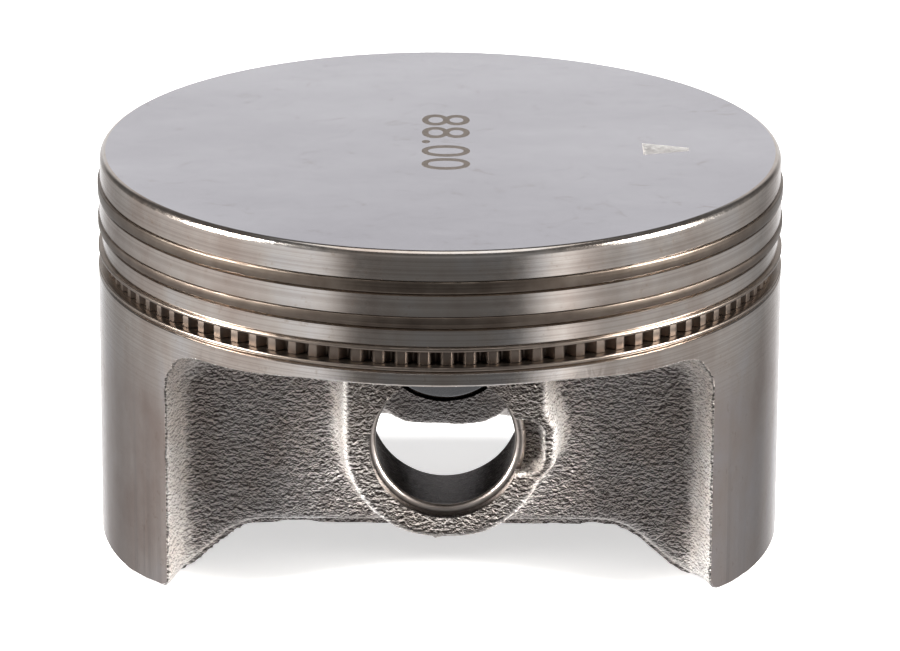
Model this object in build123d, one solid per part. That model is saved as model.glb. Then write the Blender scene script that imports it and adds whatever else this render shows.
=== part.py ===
from build123d import *

import math
import os

# Four-stroke motorcycle piston with its gudgeon pin, circlip and ring pack.
# Frame: origin on the piston axis at the skirt feet, +Z towards the crown,
# Y along the gudgeon pin, thrust skirts on +X and -X.  The pin axis is set
# over a little towards +X.  All sizes in millimetres.

# Driving dimensions
CYLINDER_RADIUS = 44.0
RUNNING_CLEARANCE = 0.03
SKIRT_RADIUS = CYLINDER_RADIUS - RUNNING_CLEARANCE
HEIGHT = 50.9
CROWN_THICKNESS = 6.5
CROWN_EDGE_ROUND = 0.8

# Ring belt: three grooves counted down from the crown
LAND_RADII = (43.68, 43.80, 43.50)
GROOVE_DEPTHS = (3.78, 8.32, 12.28)
GROOVE_HEIGHTS = (1.55, 1.55, 3.05)
GROOVE_ROOT_RADIUS = 40.0
GROOVE_LIP_CHAMFER = 0.32
BELT_BOTTOM = 33.6

# Side recesses, the cast webs behind them and the arch under the webs
RECESS_HALF_WIDTH = 34.2
RECESS_CORNER = 5.0
WEB_OUTER = 21.5
WEB_INNER = 18.0
WEB_FILLET = 2.5
ARCH_TOP = 7.45
ARCH_FLAT = 21.0
ARCH_END = 39.5
ARCH_SPLIT = 0.32

# Inside of the casting
SKIRT_INNER_RADIUS = 40.4
BELT_INNER_RADIUS = 35.6
SKIRT_INNER_TOP = 25.0
BELT_INNER_BOTTOM = 31.0
CROWN_CORNER = 5.0

# Pin bosses
PIN_HEIGHT = 20.6
PIN_OFFSET = 0.75
PIN_RADIUS = 9.49
PIN_BORE_RADIUS = 9.51
PIN_INNER_RADIUS = 6.0
PIN_HALF_LENGTH = 25.5
PIN_WITHDRAWN = 40.0
PIN_END_CHAMFER = 0.6
BOSS_FACE = 29.5
BOSS_INNER = 14.0
BOSS_FACE_RADIUS = 12.6
BOSS_DRAFT = 8.0

# Circlip, its groove and the notch that a pick goes into
CLIP_GROOVE_FACE = 27.3
CLIP_GROOVE_WIDTH = 1.5
CLIP_GROOVE_RADIUS = 10.2
CLIP_WIRE_RADIUS = 0.7
CLIP_GAP_DEGREES = 40.0
NOTCH_LENGTH = 14.6
NOTCH_LOW = 16.9
NOTCH_HIGH = 23.9
NOTCH_DEPTH = 3.7

# Rings, all shown at cylinder size
RING_INNER_RADIUS = 40.35
RING_HEIGHT = 1.5
RING_EDGE_CHAMFER = 0.15
RING_GAP = 0.35
SECOND_RING_HOOK = 0.45
RAIL_HEIGHT = 0.5
RAIL_INNER_RADIUS = 41.4
EXPANDER_OUTER_RADIUS = 43.2
EXPANDER_SIDE_CLEARANCE = 0.03
EXPANDER_SLOTS = 48
EXPANDER_SLOT_WIDTH = 1.3
EXPANDER_RIB = 0.6
RING_GAP_ANGLES = {
    "top_ring": 45,
    "second_ring": 135,
    "oil_rail_upper": 65,
    "oil_expander": 90,
    "oil_rail_lower": 115,
}

# Oil return holes behind the oil groove, angles from each thrust side
DRAIN_RADIUS = 1.25
DRAIN_ANGLES = (-26, -9, 9, 26)

# Fitting mark on the crown, a shallow triangle pointing to +X
MARK_START = 25.9
MARK_LENGTH = 5.9
MARK_HALF_WIDTH = 2.55
MARK_CENTRE = -1.1
MARK_DEPTH = 0.6


def groove_bottom(index):
    """Height of the floor of one ring groove."""
    return HEIGHT - GROOVE_DEPTHS[index] - GROOVE_HEIGHTS[index]


def turned_blank():
    """Crown, ring lands, grooves and skirt as one turning, still solid inside."""
    outline = [(0, 0), (SKIRT_RADIUS, 0)]
    below = SKIRT_RADIUS
    for index in (2, 1, 0):
        floor = groove_bottom(index)
        ceiling = HEIGHT - GROOVE_DEPTHS[index]
        above = LAND_RADII[index]
        outline.append((below, floor - GROOVE_LIP_CHAMFER))
        outline.append((below - GROOVE_LIP_CHAMFER, floor))
        outline.append((GROOVE_ROOT_RADIUS, floor))
        outline.append((GROOVE_ROOT_RADIUS, ceiling))
        outline.append((above, ceiling))
        below = above
    outline += [(below, HEIGHT), (0, HEIGHT)]
    section = make_face(Polyline(*outline, close=True))
    blank = revolve(Plane.XZ * section, Axis.Z, 360)
    crown_edge = blank.edges().filter_by(GeomType.CIRCLE).sort_by(Axis.Z)[-1]
    return fillet(crown_edge, CROWN_EDGE_ROUND)


def side_recess(side):
    """Cutter for the hollow beside one pin boss, side is -1 or +1 along Y."""
    depth = 2 * CYLINDER_RADIUS
    low = -10.0
    outline = Pos(0, (BELT_BOTTOM + low) / 2) * Rectangle(2 * RECESS_HALF_WIDTH, BELT_BOTTOM - low)
    outline = fillet(outline.vertices().group_by(Axis.Y)[-1], RECESS_CORNER)
    cutter = extrude(Plane.XZ.offset(WEB_OUTER) * outline, depth)
    inner_edges = cutter.faces().sort_by(Axis.Y)[-1].edges()
    inner_edges = inner_edges - inner_edges.group_by(Axis.Z)[0]
    cutter = fillet(inner_edges, WEB_FILLET)
    return cutter if side < 0 else mirror(cutter, Plane.XZ)


def under_crown_cavity():
    """Hollow between the two webs, open at the bottom."""
    top = HEIGHT - CROWN_THICKNESS
    outline = [
        (0, -1),
        (SKIRT_INNER_RADIUS, -1),
        (SKIRT_INNER_RADIUS, SKIRT_INNER_TOP),
        (BELT_INNER_RADIUS, BELT_INNER_BOTTOM),
        (BELT_INNER_RADIUS, top - CROWN_CORNER),
        (BELT_INNER_RADIUS - CROWN_CORNER, top),
        (0, top),
    ]
    turned = revolve(Plane.XZ * make_face(Polyline(*outline, close=True)), Axis.Z, 360)
    return turned & Pos(0, 0, HEIGHT / 2) * Box(2 * CYLINDER_RADIUS, 2 * WEB_INNER, 2 * HEIGHT)


def boss_outline(radius, top):
    """Half-round bottom with straight flanks up to the given height."""
    flanks = Pos(PIN_OFFSET, (PIN_HEIGHT + top) / 2) * Rectangle(2 * radius, top - PIN_HEIGHT)
    return Pos(PIN_OFFSET, PIN_HEIGHT) * Circle(radius) + flanks


def pin_boss(side):
    """One pin boss: drafted outside the web, straight inside it up to the crown."""
    draft = (BOSS_FACE - WEB_OUTER) * math.tan(math.radians(BOSS_DRAFT))
    base_radius = BOSS_FACE_RADIUS + draft
    face = Plane.XZ.offset(BOSS_FACE) * boss_outline(BOSS_FACE_RADIUS, BELT_BOTTOM)
    outside = extrude(face, BOSS_FACE - WEB_OUTER, dir=(0, 1, 0), taper=-BOSS_DRAFT)
    base = Plane.XZ.offset(WEB_OUTER) * boss_outline(base_radius, HEIGHT - CROWN_THICKNESS)
    inside = extrude(base, WEB_OUTER - BOSS_INNER, dir=(0, 1, 0))
    roof = Pos(0, 0, BELT_BOTTOM / 2) * Box(4 * base_radius, 4 * BOSS_FACE, BELT_BOTTOM)
    boss = (outside & roof) + inside
    return boss if side < 0 else mirror(boss, Plane.XZ)


def arch():
    """Cutter for the space under both webs, an S-curve down to each foot."""
    run = ARCH_END - ARCH_FLAT
    knee_x = ARCH_FLAT + run * ARCH_SPLIT
    knee_z = ARCH_TOP * (1 - ARCH_SPLIT)
    low = -2.0
    edges = [Line((-ARCH_FLAT, ARCH_TOP), (ARCH_FLAT, ARCH_TOP))]
    for sign in (1, -1):
        edges.append(TangentArc((sign * ARCH_FLAT, ARCH_TOP), (sign * knee_x, knee_z), tangent=(sign, 0)))
        edges.append(TangentArc((sign * ARCH_END, 0), (sign * knee_x, knee_z), tangent=(-sign, 0)))
        edges.append(Line((sign * ARCH_END, 0), (sign * ARCH_END, low)))
    edges.append(Line((-ARCH_END, low), (ARCH_END, low)))
    return extrude(Plane.XZ * make_face(edges), CYLINDER_RADIUS, both=True)


def along_pin(radius, start, end):
    """Cylinder on the pin axis between two Y positions."""
    length = end - start
    return Pos(PIN_OFFSET, (start + end) / 2, PIN_HEIGHT) * Rot(90, 0, 0) * Cylinder(radius, length)


def clip_notch(side):
    """Milled pocket beside the pin bore, where a pick gets behind the circlip."""
    width = NOTCH_LENGTH
    height = NOTCH_HIGH - NOTCH_LOW
    place = Pos(width / 2, side * (BOSS_FACE - NOTCH_DEPTH / 2 + 1), (NOTCH_HIGH + NOTCH_LOW) / 2)
    return place * Box(width, NOTCH_DEPTH + 2, height)


def drain_hole(angle):
    """Radial oil hole from the oil groove to the inside."""
    height = groove_bottom(2) + GROOVE_HEIGHTS[2] / 2
    length = GROOVE_ROOT_RADIUS - BELT_INNER_RADIUS + 3
    reach = (GROOVE_ROOT_RADIUS + BELT_INNER_RADIUS) / 2
    return Rot(0, 0, angle) * Pos(reach, 0, height) * Rot(0, 90, 0) * Cylinder(DRAIN_RADIUS, length)


def fitting_mark():
    """Triangular pit in the crown, pointing to +X."""
    corners = [
        (MARK_START, MARK_CENTRE - MARK_HALF_WIDTH),
        (MARK_START + MARK_LENGTH, MARK_CENTRE),
        (MARK_START, MARK_CENTRE + MARK_HALF_WIDTH),
    ]
    triangle = make_face(Polyline(*corners, close=True))
    return extrude(Pos(0, 0, HEIGHT - MARK_DEPTH) * triangle, MARK_DEPTH + 1)


def piston_body():
    """The one-piece cast and machined piston."""
    body = turned_blank()
    for side in (-1, 1):
        body -= side_recess(side)
    body -= under_crown_cavity()
    for side in (-1, 1):
        body += pin_boss(side)
    body -= arch()
    body -= along_pin(PIN_BORE_RADIUS, -CYLINDER_RADIUS, CYLINDER_RADIUS)
    for side in (-1, 1):
        inner = CLIP_GROOVE_FACE - CLIP_GROOVE_WIDTH
        ends = sorted((side * inner, side * CLIP_GROOVE_FACE))
        body -= along_pin(CLIP_GROOVE_RADIUS, *ends)
        body -= clip_notch(side)
    for thrust_side in (0, 180):
        for angle in DRAIN_ANGLES:
            body -= drain_hole(thrust_side + angle)
    return body - fitting_mark()


def gudgeon_pin():
    """Hollow steel pin, drawn part-way out of the rear boss."""
    length = 2 * PIN_HALF_LENGTH
    tube = along_pin(PIN_RADIUS, -PIN_HALF_LENGTH, PIN_HALF_LENGTH)
    tube -= along_pin(PIN_INNER_RADIUS, -length, length)
    rims = tube.edges().filter_by(GeomType.CIRCLE)
    tube = chamfer(rims, PIN_END_CHAMFER)
    return Pos(0, PIN_WITHDRAWN, 0) * tube


def circlip():
    """Round-wire clip in the front groove, its gap towards the crown."""
    wire_centre = CLIP_GROOVE_RADIUS - RUNNING_CLEARANCE - CLIP_WIRE_RADIUS
    groove_centre = CLIP_GROOVE_FACE - CLIP_GROOVE_WIDTH / 2
    sweep_angle = 360 - CLIP_GAP_DEGREES
    section = Pos(wire_centre, 0) * Circle(CLIP_WIRE_RADIUS)
    clip = revolve(Plane.XZ * section, Axis.Z, sweep_angle)
    clip = Rot(90, 0, 0) * Rot(0, 0, 90 + CLIP_GAP_DEGREES / 2) * clip
    return Pos(PIN_OFFSET, -groove_centre, PIN_HEIGHT) * clip


def flat_ring(outer, inner, bottom, height):
    """Plain ring lying at the given height."""
    ring = Cylinder(outer, height) - Cylinder(inner, 2 * height)
    return Pos(0, 0, bottom + height / 2) * ring


def split(ring, name):
    """Cut the end gap of one ring at its own angle."""
    gap = Pos(CYLINDER_RADIUS, 0, HEIGHT / 2) * Box(CYLINDER_RADIUS, RING_GAP, HEIGHT)
    return ring - Rot(0, 0, RING_GAP_ANGLES[name]) * gap


def compression_ring(index):
    """Chamfered ring centred in the height of one groove."""
    bottom = groove_bottom(index) + (GROOVE_HEIGHTS[index] - RING_HEIGHT) / 2
    ring = flat_ring(CYLINDER_RADIUS, RING_INNER_RADIUS, bottom, RING_HEIGHT)
    rims = ring.edges().filter_by(GeomType.CIRCLE).group_by(SortBy.RADIUS)[-1]
    return chamfer(rims, RING_EDGE_CHAMFER)


def top_ring():
    """Upper compression ring."""
    return split(compression_ring(0), "top_ring")


def second_ring():
    """Scraper ring with a hook under its face."""
    ring = compression_ring(1)
    bottom = groove_bottom(1) + (GROOVE_HEIGHTS[1] - RING_HEIGHT) / 2
    hook_inner = CYLINDER_RADIUS - SECOND_RING_HOOK
    hook = flat_ring(CYLINDER_RADIUS + 1, hook_inner, bottom - SECOND_RING_HOOK, 2 * SECOND_RING_HOOK)
    return split(ring - hook, "second_ring")


def oil_rail(name):
    """Thin steel rail at the top or bottom of the oil groove."""
    bottom = groove_bottom(2) + EXPANDER_SIDE_CLEARANCE
    if name == "oil_rail_upper":
        bottom = groove_bottom(2) + GROOVE_HEIGHTS[2] - EXPANDER_SIDE_CLEARANCE - RAIL_HEIGHT
    return split(flat_ring(CYLINDER_RADIUS, RAIL_INNER_RADIUS, bottom, RAIL_HEIGHT), name)


def oil_expander():
    """Castellated spacer that holds the two rails apart."""
    step = RAIL_HEIGHT + 2 * EXPANDER_SIDE_CLEARANCE
    bottom = groove_bottom(2) + step
    height = GROOVE_HEIGHTS[2] - 2 * step
    ring = flat_ring(EXPANDER_OUTER_RADIUS, RING_INNER_RADIUS, bottom, height)
    slot_height = height - EXPANDER_RIB
    reach = (EXPANDER_OUTER_RADIUS + RING_INNER_RADIUS) / 2
    slots = []
    for index in range(EXPANDER_SLOTS):
        angle = (index + 0.5) * 360 / EXPANDER_SLOTS
        level = bottom + slot_height / 2 if index % 2 else bottom + height - slot_height / 2
        level += -0.5 if index % 2 else 0.5
        slot = Box(6, EXPANDER_SLOT_WIDTH, slot_height + 1)
        slots.append(Rot(0, 0, angle) * Pos(reach, 0, level) * slot)
    ring -= slots
    return split(ring, "oil_expander")


def main():
    os.makedirs("parts", exist_ok=True)
    nodes = {
        "piston_body": piston_body(),
        "gudgeon_pin": gudgeon_pin(),
        "circlip": circlip(),
        "top_ring": top_ring(),
        "second_ring": second_ring(),
        "oil_rail_upper": oil_rail("oil_rail_upper"),
        "oil_expander": oil_expander(),
        "oil_rail_lower": oil_rail("oil_rail_lower"),
    }
    for name, solid in nodes.items():
        export_step(solid, f"parts/{name}.step")
        print(name, "solids", len(solid.solids()), "volume", round(solid.volume, 1))


main()
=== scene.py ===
"""Looks of a four-stroke piston: a cast and turned body, its pin, clip and ring pack."""

import math

import bpy
import numpy as np
import openvdb
from mathutils import Matrix, Vector

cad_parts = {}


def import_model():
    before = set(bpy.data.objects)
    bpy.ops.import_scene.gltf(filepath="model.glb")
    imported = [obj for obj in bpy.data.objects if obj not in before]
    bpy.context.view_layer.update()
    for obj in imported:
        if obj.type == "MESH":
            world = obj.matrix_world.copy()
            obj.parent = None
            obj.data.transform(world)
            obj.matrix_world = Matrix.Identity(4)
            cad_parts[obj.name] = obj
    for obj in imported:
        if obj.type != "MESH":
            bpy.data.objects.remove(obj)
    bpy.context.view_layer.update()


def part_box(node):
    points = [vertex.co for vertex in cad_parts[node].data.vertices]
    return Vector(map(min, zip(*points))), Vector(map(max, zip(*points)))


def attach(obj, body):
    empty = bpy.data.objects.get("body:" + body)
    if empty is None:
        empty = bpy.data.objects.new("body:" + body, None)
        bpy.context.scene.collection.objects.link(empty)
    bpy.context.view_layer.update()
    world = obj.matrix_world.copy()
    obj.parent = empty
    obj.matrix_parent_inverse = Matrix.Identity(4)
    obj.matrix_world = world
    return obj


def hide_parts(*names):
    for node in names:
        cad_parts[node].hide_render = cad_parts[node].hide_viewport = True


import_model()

MM = 0.001


def cad_box(node):
    """Lowest and highest corner of a CAD node, in millimetres."""
    low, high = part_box(node)
    return [value / MM for value in low], [value / MM for value in high]


BODY_LOW, BODY_HIGH = cad_box("piston_body")
PIN_LOW, PIN_HIGH = cad_box("gudgeon_pin")
CLIP_LOW, CLIP_HIGH = cad_box("circlip")

# Sizes in millimetres, nearly all of them the same as in the CAD parts
CYLINDER_RADIUS = 44.0
SKIRT_RADIUS = 43.97
SKIRT_FOOT_CHAMFER = 0.15
HEIGHT = BODY_HIGH[2]
CROWN_EDGE_ROUND = 0.95
CROWN_EDGE_STEPS = 8
CROWN_THICKNESS = 6.5
LAND_RADII = (43.68, 43.80, 43.50)
GROOVE_NODES = (
    ("top_ring", "top_ring"),
    ("second_ring", "second_ring"),
    ("oil_rail_lower", "oil_rail_upper"),
)
RING_SIDE_CLEARANCE = (0.025, 0.025, 0.03)
GROOVE_ROOT_RADIUS = 40.0
GROOVE_LIP = 0.33
GROOVE_LIP_DEPTH = 0.43
GROOVE_EDGE = 0.06
BELT_BOTTOM = 33.6

RECESS_HALF_WIDTH = 34.25
RECESS_EDGE = 27.6
RECESS_WALL_SLOPE = 0.385
WEB_OUTER = 21.5
WEB_INNER = 18.0
WEB_MIDDLE = (WEB_OUTER + WEB_INNER) / 2
ARCH_TOP = 7.45
ARCH_FLAT = 21.0
ARCH_END = 39.5
ARCH_SPLIT = 0.32
ARCH_CENTRE = -0.9
ARCH_PROBE = 0.1
FOOT_DROP = 0.8
FOOT_START = 28.0
FOOT_DEEPEST = 33.0
FOOT_END = 35.0

SKIRT_INNER_RADIUS = 40.4
SKIRT_INNER_TOP = 25.0
BELT_INNER_RADIUS = 35.6
BELT_INNER_BOTTOM = 31.0

PIN_HEIGHT = (PIN_LOW[2] + PIN_HIGH[2]) / 2
PIN_OFFSET = (PIN_LOW[0] + PIN_HIGH[0]) / 2
PIN_PLACE = (PIN_OFFSET * MM, 0, PIN_HEIGHT * MM)
PIN_RADIUS = 9.49
PIN_INNER_RADIUS = 6.0
PIN_BORE_RADIUS = 9.51
BOSS_FACE = 29.5
BOSS_INNER = 14.0
BOSS_FACE_RADIUS = 12.6
BOSS_DRAFT = 0.15

CLIP_GROOVE_RADIUS = 10.2
CLIP_GROOVE_WIDTH = 1.5
CLIP_CENTRE = -(CLIP_LOW[1] + CLIP_HIGH[1]) / 2
CLIP_WIRE_RADIUS = 0.7
CLIP_GAP_DEGREES = 40.0
NOTCH_END = 13.0
NOTCH_LOW = 16.9
NOTCH_HIGH = 23.9
NOTCH_DEPTH = 3.7
NOTCH_BULGE = 1.2
NOTCH_MIDDLE = (NOTCH_LOW + NOTCH_HIGH) / 2
NOTCH_HALF = (NOTCH_HIGH - NOTCH_LOW) / 2

DRAIN_RADIUS = 1.25
DRAIN_ANGLES = (-26, -9, 9, 26)
MARK_START = 25.9
MARK_LENGTH = 5.9
MARK_CENTRE = -1.1
MARK_HALF_WIDTH = 2.5
MARK_TIP_HALF_WIDTH = 0.75
MARK_DEPTH = 0.55

RING_INNER_RADIUS = 40.35
RAIL_INNER_RADIUS = 41.4
RING_GAP = 0.35
GAP_ANGLES = {
    "top_ring": 45,
    "second_ring": 135,
    "oil_rail_upper": 65,
    "oil_expander": 90,
    "oil_rail_lower": 115,
}

LATHE_STEPS = 360
PIN_STEPS = 192
DRAIN_STEPS = 32
AIR_RADIUS = CYLINDER_RADIUS + 1.4
AIR_FLOOR = -1.4
AIR_HALF_WIDTH = 39.6


# ---------------------------------------------------------------- meshes

def new_object(name, vertices, faces):
    """Mesh object from points in millimetres."""
    mesh = bpy.data.meshes.new(name)
    mesh.from_pydata([tuple(v) for v in np.asarray(vertices) * MM], [], [tuple(f) for f in faces])
    mesh.validate()
    obj = bpy.data.objects.new(name, mesh)
    bpy.context.scene.collection.objects.link(obj)
    return obj


def rounded_path(points, radii, steps=5):
    """Closed outline with each corner rounded by its radius."""
    path = []
    count = len(points)
    for index, (corner, radius) in enumerate(zip(points, radii, strict=True)):
        corner = np.array(corner, float)
        before = np.array(points[index - 1], float) - corner
        after = np.array(points[(index + 1) % count], float) - corner
        before /= np.linalg.norm(before)
        after /= np.linalg.norm(after)
        half = math.acos(np.clip(before @ after, -1, 1)) / 2
        reach = radius / math.tan(half)
        centre = corner + (before + after) / np.linalg.norm(before + after) * radius / math.sin(half)
        start = corner + before * reach - centre
        end = corner + after * reach - centre
        turn = math.atan2(start[0] * end[1] - start[1] * end[0], start @ end)
        for step in range(steps + 1):
            angle = turn * step / steps
            cosine, sine = math.cos(angle), math.sin(angle)
            turned = (start[0] * cosine - start[1] * sine, start[0] * sine + start[1] * cosine)
            path.append(centre + turned)
    return path


def lathe(name, outline, start=0.0, sweep=360.0, steps=LATHE_STEPS, axis="Z"):
    """Solid turned from a closed (radius, height) outline, all round or with flat ends."""
    outline = np.array(outline, float)
    full = sweep == 360
    rows = steps if full else steps + 1
    angles = np.radians(start + sweep * np.arange(rows) / steps)
    radius, height = outline[:, 0], outline[:, 1]
    x = np.outer(np.cos(angles), radius)
    y = np.outer(np.sin(angles), radius)
    z = np.outer(np.ones(rows), height)
    points = np.stack([x, y, z], 2)
    count = len(outline)
    on_axis = radius < 1e-9
    index = np.arange(rows * count).reshape(rows, count)
    if full:
        index[:, on_axis] = index[0, on_axis]
    faces = []
    for row in range(rows if full else rows - 1):
        after = (row + 1) % rows
        for k in range(count):
            k2 = (k + 1) % count
            if on_axis[k] and on_axis[k2]:
                continue
            corners = [index[row, k], index[after, k], index[after, k2], index[row, k2]]
            kept = [c for n, c in enumerate(corners) if c != corners[n - 1]]
            faces.append(kept)
    if not full:
        faces.append(list(index[0]))
        faces.append(list(index[-1][::-1]))
    used = sorted({c for face in faces for c in face})
    remap = {old: new for new, old in enumerate(used)}
    points = points.reshape(-1, 3)[used]
    if axis == "Y":
        points = points[:, [0, 2, 1]]
    faces = [[remap[c] for c in face] for face in faces]
    obj = new_object(name, points, faces)
    face_outwards(obj)
    return obj


def face_outwards(obj):
    """Flip every face if the closed mesh is inside out."""
    mesh = obj.data
    points = np.zeros(len(mesh.vertices) * 3)
    mesh.vertices.foreach_get("co", points)
    points = points.reshape(-1, 3)
    mesh.calc_loop_triangles()
    corners = np.zeros(len(mesh.loop_triangles) * 3, np.int32)
    mesh.loop_triangles.foreach_get("vertices", corners)
    a, b, c = (points[corners[k::3]] for k in range(3))
    if np.einsum("ij,ij->i", a, np.cross(b, c)).sum() < 0:
        mesh.flip_normals()


def subtract(obj, cutters):
    """Cut closed meshes out of a closed mesh, then delete the cutters."""
    for cutter in cutters:
        modifier = obj.modifiers.new("cut", "BOOLEAN")
        modifier.operation = "DIFFERENCE"
        modifier.solver = "MANIFOLD"
        modifier.object = cutter
    depsgraph = bpy.context.evaluated_depsgraph_get()
    mesh = bpy.data.meshes.new_from_object(obj.evaluated_get(depsgraph))
    obj.modifiers.clear()
    old = obj.data
    obj.data = mesh
    bpy.data.meshes.remove(old)
    for cutter in cutters:
        bpy.data.objects.remove(cutter)


# ---------------------------------------------------------------- distance fields

def smooth_min(a, b, k):
    """Union of two distance fields with a fillet about k wide."""
    h = np.maximum(k - np.abs(a - b), 0) / k
    return np.minimum(a, b) - h * h * k / 4


def smooth_max(a, b, k):
    """Intersection of two distance fields with an edge rounded about k wide."""
    return -smooth_min(-a, -b, k)


def ramp(value, low, high):
    """Smooth step from 0 at low to 1 at high."""
    t = np.clip((value - low) / (high - low), 0, 1)
    return t * t * (3 - 2 * t)


RANDOM_SEED = 7
RANDOM_COUNT = 1 << 16
RANDOM_TABLE = np.random.default_rng(RANDOM_SEED).uniform(-1, 1, RANDOM_COUNT).astype(np.float32)
CELL_PRIMES = (73856093, 19349663, 83492791)
SEED_PRIME = 2654435761
CELL_SHIFT = 1000


def lattice_noise(points, scale, seed):
    """Smooth random field from -1 to 1, scale is the size of its cells along each axis."""
    place = points / np.array(scale, np.float32) + CELL_SHIFT
    cell = np.floor(place).astype(np.int64)
    part = (place - cell).astype(np.float32)
    part = part * part * (3 - 2 * part)
    total = np.zeros(len(points), np.float32)
    for dx, dy, dz in np.ndindex(2, 2, 2):
        key = (cell[:, 0] + dx) * CELL_PRIMES[0] ^ (cell[:, 1] + dy) * CELL_PRIMES[1]
        key = (key ^ (cell[:, 2] + dz) * CELL_PRIMES[2] ^ seed * SEED_PRIME) & (RANDOM_COUNT - 1)
        weight = np.abs(1 - dx - part[:, 0])
        weight = weight * np.abs(1 - dy - part[:, 1]) * np.abs(1 - dz - part[:, 2])
        total += weight * RANDOM_TABLE[key]
    return total


def arch_height(x):
    """Height of the webs' lower edge, level in the middle and an S-curve to each foot."""
    run = ARCH_END - ARCH_FLAT
    total = (run * run + ARCH_TOP * ARCH_TOP) / (2 * ARCH_TOP)
    upper, lower = total * ARCH_SPLIT, total * (1 - ARCH_SPLIT)
    knee = ARCH_FLAT + run * ARCH_SPLIT
    x = np.abs(x - ARCH_CENTRE)
    from_flat = np.clip(x - ARCH_FLAT, 0, None)
    from_end = np.clip(ARCH_END - x, 0, None)
    crest = ARCH_TOP - upper + np.sqrt(np.maximum(upper ** 2 - from_flat ** 2, 0))
    trough = lower - np.sqrt(np.maximum(lower ** 2 - from_end ** 2, 0))
    drop = FOOT_DROP * ramp(x, FOOT_START, FOOT_DEEPEST) * (1 - ramp(x, FOOT_DEEPEST, FOOT_END))
    return np.where(x < knee, crest, trough) - drop


def arch_air(x, z):
    """Distance field of the space under the webs, negative in the air."""
    slope = (arch_height(x + ARCH_PROBE / 2) - arch_height(x - ARCH_PROBE / 2)) / ARCH_PROBE
    return (z - arch_height(x)) / np.sqrt(1 + slope * slope)


def boss_section(x, z):
    """Distance from the boss's centreline figure: half-round below, straight flanks above."""
    return np.hypot(x - PIN_OFFSET, np.minimum(z - PIN_HEIGHT, 0))


def grid(low, high, step):
    """Three coordinate arrays that fill a box."""
    axes = [np.arange(l, h + step, step, dtype=np.float32) for l, h in zip(low, high, strict=True)]
    return np.meshgrid(*axes, indexing="ij")


FIELD_REACH = 3.0


def field_mesh(name, field, low, step):
    """Closed mesh of the space where a distance field is negative."""
    volume = openvdb.FloatGrid(background=FIELD_REACH)
    volume.copyFromArray(np.clip(field, -FIELD_REACH, FIELD_REACH).astype(np.float32))
    points, quads = volume.convertToQuads(isovalue=0.0)
    obj = new_object(name, points * step + np.array(low), quads)
    face_outwards(obj)
    return obj


SEEDS = {"warp": 3, "wrinkle": 11, "swell": 13, "inside": 21}
WARP_CELLS = (2.4, 2.4, 2.4)
WARP_HEIGHT = 0.3
WRINKLE_CELLS = (1.1, 0.8, 0.5)
WRINKLE_DEPTH = 0.14
SWELL_CELLS = (3.5, 3.5, 2.5)
SWELL_DEPTH = 0.03


def sand_texture(points):
    """Relief left by the sand mould: short wavy wrinkles that lie along X."""
    bent = points.copy()
    bent[:, 2] += WARP_HEIGHT * lattice_noise(points, WARP_CELLS, SEEDS["warp"])
    wrinkle = lattice_noise(bent, WRINKLE_CELLS, SEEDS["wrinkle"])
    swell = lattice_noise(points, SWELL_CELLS, SEEDS["swell"])
    return WRINKLE_DEPTH * wrinkle + SWELL_DEPTH * swell


BOSS_EDGE_ROUND = 1.5
NUB_PLACE = (-0.4, 28.0, 7.6)
NUB_RADIUS = 0.85
NUB_STRETCH = 1.5
NUB_FILLET = 0.6
BULGE_X = (5, 9)
BULGE_HALF_HEIGHT = 4.8
BULGE_FADE = 2.6
NOTCH_CORNER = 2.2
NOTCH_FLOOR_ROUND = 1.6
NOTCH_EDGE_ROUND = 1.0
NOTCH_START = PIN_OFFSET + 3.0


def boss_metal(x, d, z):
    """Distance fields of one pin boss with its notch and flash, of its flank alone and of the notch."""
    section = boss_section(x, z)
    from_notch = np.abs(z - NOTCH_MIDDLE)
    bulge = NOTCH_BULGE * ramp(x, *BULGE_X) * ramp(BULGE_HALF_HEIGHT - from_notch, 0, BULGE_FADE)
    boss_radius = BOSS_FACE_RADIUS + (BOSS_FACE - d) * BOSS_DRAFT + bulge
    boss = smooth_max(section - boss_radius, d - BOSS_FACE, BOSS_EDGE_ROUND)
    nub = (x - NUB_PLACE[0]) ** 2 + ((d - NUB_PLACE[1]) / NUB_STRETCH) ** 2 + (z - NUB_PLACE[2]) ** 2
    boss = smooth_min(boss, np.sqrt(nub) - NUB_RADIUS, NUB_FILLET)
    notch = smooth_max(from_notch - NOTCH_HALF, x - NOTCH_END, NOTCH_CORNER)
    notch = smooth_max(notch, BOSS_FACE - NOTCH_DEPTH - d, NOTCH_FLOOR_ROUND)
    notch = np.maximum(notch, NOTCH_START - x)
    return smooth_max(boss, -notch, NOTCH_EDGE_ROUND), section - boss_radius, notch


AIR_MARGIN = 0.6
AIR_HEADROOM = 1.2
AIR_OVERLAP = 0.5
ROOF_DROOP = 0.8
ROOF_DROOP_X = (14, 27)
NEAR_ROOF = (1.5, 6.5)
ROOF_FILLET = 8.5
SIDE_FILLET = 2.4
WALL_FILLET_GROWTH = 3.8
BOSS_FILLET_GROWTH = 3.0
ARCH_ROUND = 1.9
LIP_ROUND = 0.5
LIP_STANDOFF = 0.05
TEXTURE_REACH = 0.8


RIM_INNER = (-1.3, -0.8)
RIM_WIDTH = 2.6
RIM_FADE = (0, 0.8)
RIM_DEPTH = (23.6, 25.2)
RIM_NOTCH = (0.1, 0.8)
RIM_SMOOTHING = 0.9
ROOF_TEXTURE = 0.15
ROOF_TEXTURE_SPAN = (1.6, 2.8)
SKIRT_TEXTURE_SPAN = (0.05, 0.4)
ARCH_TEXTURE = 0.06
ARCH_TEXTURE_SPAN = (1.0, 1.8)


def faded(least, value, low, high):
    """Share that rises from the least at low to 1 at high."""
    return least + (1 - least) * ramp(value, low, high)


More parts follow.
